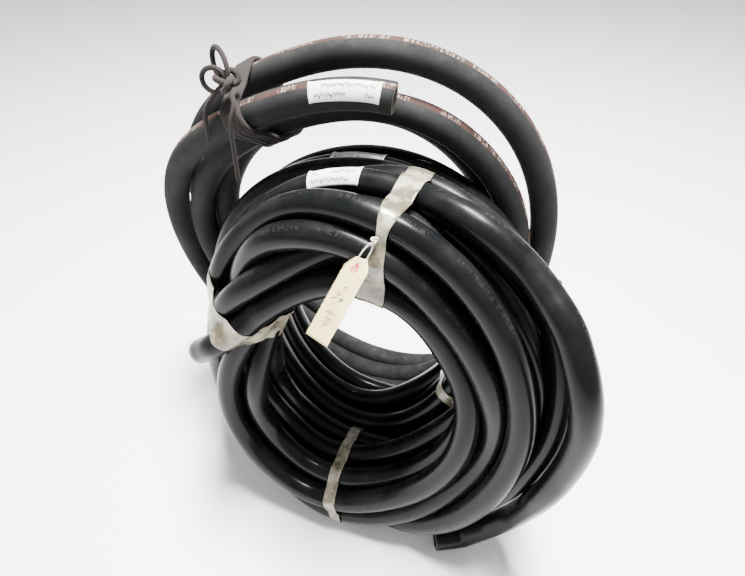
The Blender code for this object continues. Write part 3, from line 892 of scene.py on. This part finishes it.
def wire_layer():
    """Brassy plaited wire, seen as bright and dark spots where it is cut."""
    s = Shader("steel_wire", Metallic=1.0)
    along, around = s.uv()
    step = s.times(along, 700.0)
    turn = s.times(around, 48.0)
    first = s.wave(s.maths("ADD", turn, step))
    second = s.wave(s.maths("SUBTRACT", turn, step))
    plait = s.maths("MAXIMUM", first, second)
    dull = s.noise(240.0, 3.0)
    shine = s.times(plait, dull)
    s.set("Base Color", s.mix(shine, (0.11, 0.085, 0.055, 1), (0.62, 0.52, 0.36, 1)))
    s.set("Roughness", s.scaled(dull, 0.3, 0.30))
    s.bump(plait, 0.7, 0.0002)
    return s.material


def ink_rows(s, u, v, rows, height, pitch, stroke, gaps=0.43):
    """A mask of rows of generic strokes that spell nothing. u is along a row and v across it, in metres."""
    marks = None
    for number, (row, start, stop) in enumerate(rows):
        jitter = s.line_noise(s.scaled(u, 1.7 / pitch, 11.0 * number), 1.0)
        phase = s.scaled(jitter, 3.2, s.times(u, 1 / pitch))
        swing = s.scaled(s.maths("PINGPONG", phase, 0.5), 2.0, -0.5)
        tall = s.times(swing, s.ramp(jitter, 0.3, 0.65, height * 0.5, height))
        offset = s.maths("ABSOLUTE", s.maths("SUBTRACT", s.maths("SUBTRACT", v, row), tall))
        line = s.ramp(offset, stroke, stroke * 0.5)
        words = s.line_noise(s.scaled(u, 0.16 / pitch, 7.3 * number))
        gate = s.maths("GREATER_THAN", words, gaps)
        inside = s.times(s.maths("GREATER_THAN", u, start), s.maths("LESS_THAN", u, stop))
        line = s.times(s.times(line, gate), inside)
        marks = line if marks is None else s.maths("MAXIMUM", marks, line)
    return marks


def label_paper():
    """White label paper with two rows of generic pen strokes, smudged."""
    s = Shader("label_paper", Specular_IOR_Level=0.3)
    along, around = s.uv()
    u = s.times(along, LABEL_LENGTH)
    v = s.times(around, LABEL_WIDTH)
    rows = ((0.0042, -0.027, 0.026), (-0.0046, -0.027, 0.024))
    ink = ink_rows(s, u, v, rows, 0.0050, 0.0036, 0.0017)
    smudge = s.ramp(s.noise(90.0, 4.0, 0.65), 0.42, 0.78)
    paper = s.mix(s.times(smudge, 0.5), (0.80, 0.80, 0.77, 1), (0.50, 0.48, 0.43, 1))
    s.set("Base Color", s.mix(s.times(ink, 0.9), paper, (0.035, 0.035, 0.045, 1)))
    s.set("Roughness", s.scaled(smudge, 0.2, 0.42))
    s.bump(s.noise(700.0, 3.0), 0.15, 0.0001)
    return s.material


def clear_tape():
    """Wrinkled yellowish film, milky where it lies double and brown where grime is under it, with painted
    shade: darker brown on its lower side between two heights.
    """
    s = Shader("clear_tape", Specular_IOR_Level=0.55, Coat_Weight=0.4, Coat_Roughness=0.15, Alpha=0.82)
    milky = s.ramp(s.noise(55.0, 5.0, 0.6), 0.38, 0.66)
    dirt_and_shade = s.ramp(s.noise(24.0, 4.0, 0.6), 0.50, 0.68)
    colour = s.mix(milky, (0.110, 0.095, 0.062, 1), (0.38, 0.35, 0.26, 1))
    # Painted shade: between heights of about 0.36 and 0.45 m, the shaded lower side of the top bundle, the
    # film is painted dark brown, most where it is least milky.
    height = s.split(s.place())[2]
    inner = s.times(s.ramp(height, 0.455, 0.436), s.ramp(height, 0.355, 0.365))
    dirt_and_shade = s.maths("MAXIMUM", dirt_and_shade, s.times(inner, s.ramp(milky, 0.0, 1.0, 1.35, 0.85)))
    # This brown stands for both grime under the film and painted shade.
    colour = s.mix(s.times(dirt_and_shade, 0.72), colour, (0.062, 0.042, 0.020, 1))
    s.set("Base Color", colour)
    s.set("Roughness", s.scaled(milky, 0.22, 0.20))
    s.bump(s.scaled(s.noise(150.0, 4.0, 0.6), 0.6, s.noise(48.0, 3.0)), 0.5, 0.0016)
    return s.material


def brown_twine():
    """Dark reddish-brown hairy twine."""
    s = Shader("twine", Specular_IOR_Level=0.25, Sheen_Weight=0.04, Sheen_Roughness=0.6)
    along, around = s.uv()
    fibres = s.wave(s.scaled(around, 15.0, s.times(along, 520.0)))
    wear = s.ramp(s.noise(80.0, 4.0, 0.6), 0.35, 0.70)
    colour = s.mix(wear, (0.0038, 0.0024, 0.0022, 1), (0.0135, 0.0080, 0.0066, 1))
    s.set("Base Color", s.mix(s.times(fibres, 0.35), colour, (0.022, 0.0135, 0.0105, 1)))
    s.set("Roughness", s.scaled(wear, 0.12, 0.74))
    s.bump(s.scaled(s.noise(900.0, 3.0), 0.8, fibres), 0.6, 0.0004)
    return s.material


def manila_card():
    """Buff card with fibres, stains and a few generic pencil strokes."""
    s = Shader("manila", Specular_IOR_Level=0.3)
    along, across = s.uv()
    stain = s.ramp(s.noise(42.0, 5.0, 0.6), 0.42, 0.75)
    fibre = s.noise(650.0, 3.0, 0.6)
    colour = s.mix(stain, (0.62, 0.52, 0.235, 1), (0.50, 0.39, 0.16, 1))
    colour = s.mix(s.times(fibre, 0.16), colour, (0.68, 0.60, 0.33, 1))
    turned = s.scaled(across, 0.35, along)
    rows = ((0.0005, 0.030, 0.047), (0.0025, 0.052, 0.069))
    pencil = ink_rows(s, turned, across, rows, 0.0190, 0.0074, 0.0036, 0.0)
    grain = s.ramp(fibre, 0.10, 0.30)
    pencil = s.times(s.times(pencil, grain), 0.95)
    colour = s.mix(pencil, colour, (0.075, 0.07, 0.065, 1))
    s.set("Base Color", colour)
    s.set("Roughness", s.scaled(stain, 0.1, 0.62))
    s.bump(fibre, 0.25, 0.0001)
    return s.material


def red_patch():
    """Faded red fibre of the hole's reinforcement."""
    s = Shader("red_patch", Specular_IOR_Level=0.3)
    worn = s.ramp(s.noise(520.0, 4.0, 0.6), 0.36, 0.72)
    s.set("Base Color", s.mix(worn, (0.40, 0.050, 0.035, 1), (0.50, 0.16, 0.11, 1)))
    s.set("Roughness", s.scaled(worn, 0.15, 0.6))
    s.bump(worn, 0.3, 0.0001)
    return s.material


def white_string():
    """Off-white cotton string."""
    s = Shader("tag_string", Specular_IOR_Level=0.25, Sheen_Weight=0.2)
    along, around = s.uv()
    strands = s.wave(s.scaled(around, 6.0, s.times(along, 1800.0)))
    fluff = s.noise(900.0, 3.0)
    pale = s.times(strands, fluff)
    s.set("Base Color", s.mix(pale, (0.46, 0.43, 0.36, 1), (0.74, 0.72, 0.66, 1)))
    s.set("Roughness", s.scaled(fluff, 0.2, 0.7))
    s.bump(strands, 0.5, 0.0002)
    return s.material


# ---- stage ----
def add_camera():
    """A phone's wide view from above the front right."""
    data = bpy.data.cameras.new("camera")
    data.lens = 26.11
    data.clip_start = 0.02
    camera = bpy.data.objects.new("camera", data)
    bpy.context.scene.collection.objects.link(camera)
    camera.location = (0.2415, -0.4665, 0.7486)
    heading = math.radians(25.0)
    down = math.radians(39.3)
    camera.rotation_euler = (math.pi / 2 - down, 0, heading)
    bpy.context.scene.camera = camera


def add_area(name, place, target, size, power):
    """A rectangular light that faces its target."""
    data = bpy.data.lights.new(name, "AREA")
    data.shape = "RECTANGLE"
    data.size, data.size_y = size
    data.energy = power
    light = bpy.data.objects.new(name, data)
    light.location = place
    light.rotation_euler = (Vector(target) - Vector(place)).to_track_quat("-Z", "Y").to_euler()
    bpy.context.scene.collection.objects.link(light)


def add_stage():
    """A pale floor, a pale sky and soft light from above."""
    world = bpy.data.worlds.new("studio")
    world.use_nodes = True
    sky = world.node_tree.nodes["Background"].inputs
    sky["Color"].default_value = (1.0, 1.0, 1.0, 1)
    sky["Strength"].default_value = 0.80
    bpy.context.scene.world = world
    floor = Shader("pale_floor", Specular_IOR_Level=0.2)
    mottle = floor.noise(1.7, 4.0)
    floor.set("Base Color", floor.mix(mottle, (0.93, 0.93, 0.925, 1), (0.96, 0.96, 0.96, 1)))
    floor.set("Roughness", floor.scaled(mottle, 0.2, 0.7))
    mesh = bpy.data.meshes.new("floor")
    corners = [(x * FLOOR_HALF, y * FLOOR_HALF, 0) for x, y in ((-1, -1), (1, -1), (1, 1), (-1, 1))]
    mesh.from_pydata(corners, [], [(0, 1, 2, 3)])
    mesh.materials.append(floor.material)
    ground = bpy.data.objects.new("floor", mesh)
    bpy.context.scene.collection.objects.link(ground)
    add_area("overhead", (0.15, 0.15, 2.3), target=(0, 0, 0.2), size=(0.9, 0.45), power=430)
    add_area("front_fill", (-0.9, -1.9, 1.5), target=(0, 0, 0.25), size=(1.2, 1.2), power=4)


# ---- the object ----
def add_hoses(materials):
    """The three hoses with their cut ends; the table lists each one's marked length."""
    front, middle, back = hose_routes()
    slots = {"liner": "inner_tube", "wire": "steel_wire"}
    jobs = (
        ("front_hose", front, "front", WIRE_HOSE_R, WIRE_COVER_BORE, WIRE_LAYERS, "smooth_cover", 14.33,
         ("front_tail_end", "front_free_end"), ("front_coil", "front_free_run", "front_tail")),
        ("middle_hose", middle, "middle", WIRE_HOSE_R, WIRE_COVER_BORE, WIRE_LAYERS, "smooth_cover", 10.97,
         ("middle_upper_end", "middle_lower_end"), ("middle_coil", "middle_upper_run", "middle_lower_run")),
        ("back_hose", back, "back", SPIRAL_HOSE_R, SPIRAL_COVER_BORE, SPIRAL_LAYERS, "cloth_cover", 5.49,
         ("back_label_end", "back_tail_end"), ("back_coil", "back_label_run", "back_tail_run")),
    )
    routes = {}
    for name, path, body, radius, bore, layers, finish, length, ends, nodes in jobs:
        hose = hose_tube(name, path, radius, bore, (0, 0, 1), materials[finish])
        settle(hose, body, finish, *nodes, *(f"{end}_cover" for end in ends))
        sleeves = cut_sleeves(ends[0], path, True, layers, materials, body, slots)
        sleeves += cut_sleeves(ends[1], path, False, layers, materials, body, slots)
        routes[body] = path
    return routes


def add_tapes(routes, material):
    """Film round the front and middle bundles; the tag's string pinches the front one's top band."""
    front, middle = routes["front"], routes["middle"]
    bands = (
        ("front_top_tape", FRONT, 83, 0.026, front, 0.085, "front", np.array(TAG_KNOT)),
        ("front_left_tape", FRONT, 149.5, 0.032, front, 0.085, "front", None),
        ("front_bottom_tape", FRONT, 271, 0.016, front, 0.075, "front", None),
        ("middle_right_tape", MIDDLE, 338, 0.016, middle, 0.052, "middle", None),
        ("middle_left_tape", MIDDLE, 182, 0.016, middle, 0.060, "middle", None),
    )
    for name, coil, angle, width, path, reach, body, pinched in bands:
        tape_band(name, coil, angle, width, path, reach, body, material, pinched)


def add_labels(routes, material):
    """One paper label on each hose, facing up and forwards."""
    labels = (
        ("front_label", "front", WIRE_HOSE_R, (0.0, -0.55, 0.85), 0.056),
        ("middle_label", "middle", WIRE_HOSE_R, (0.0, -0.10, 1.00), LABEL_LENGTH),
        ("back_label", "back", SPIRAL_HOSE_R, (0.0, -0.86, 0.52), 0.072),
    )
    for name, body, radius, facing, length in labels:
        paper_label(name, routes[body], radius, facing, body, material, length)


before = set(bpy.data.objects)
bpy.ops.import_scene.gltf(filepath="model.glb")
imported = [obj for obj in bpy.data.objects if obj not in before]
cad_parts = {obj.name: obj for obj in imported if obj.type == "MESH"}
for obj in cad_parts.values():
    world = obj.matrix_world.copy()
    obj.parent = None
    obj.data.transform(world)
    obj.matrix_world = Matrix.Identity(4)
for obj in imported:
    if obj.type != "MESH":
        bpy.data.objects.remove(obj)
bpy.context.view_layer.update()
add_camera()
materials = {
    "smooth_cover": rubber_cover(),
    "cloth_cover": cloth_cover(),
    "liner": inner_rubber(),
    "wire": wire_layer(),
    "label": label_paper(),
    "tape": clear_tape(),
    "twine": brown_twine(),
    "manila": manila_card(),
    "red_patch": red_patch(),
    "tag_string": white_string(),
}
routes = add_hoses(materials)
add_tapes(routes, materials["tape"])
add_labels(routes, materials["label"])
add_twine(routes["back"], materials["twine"])
add_tag(materials)
add_stage()
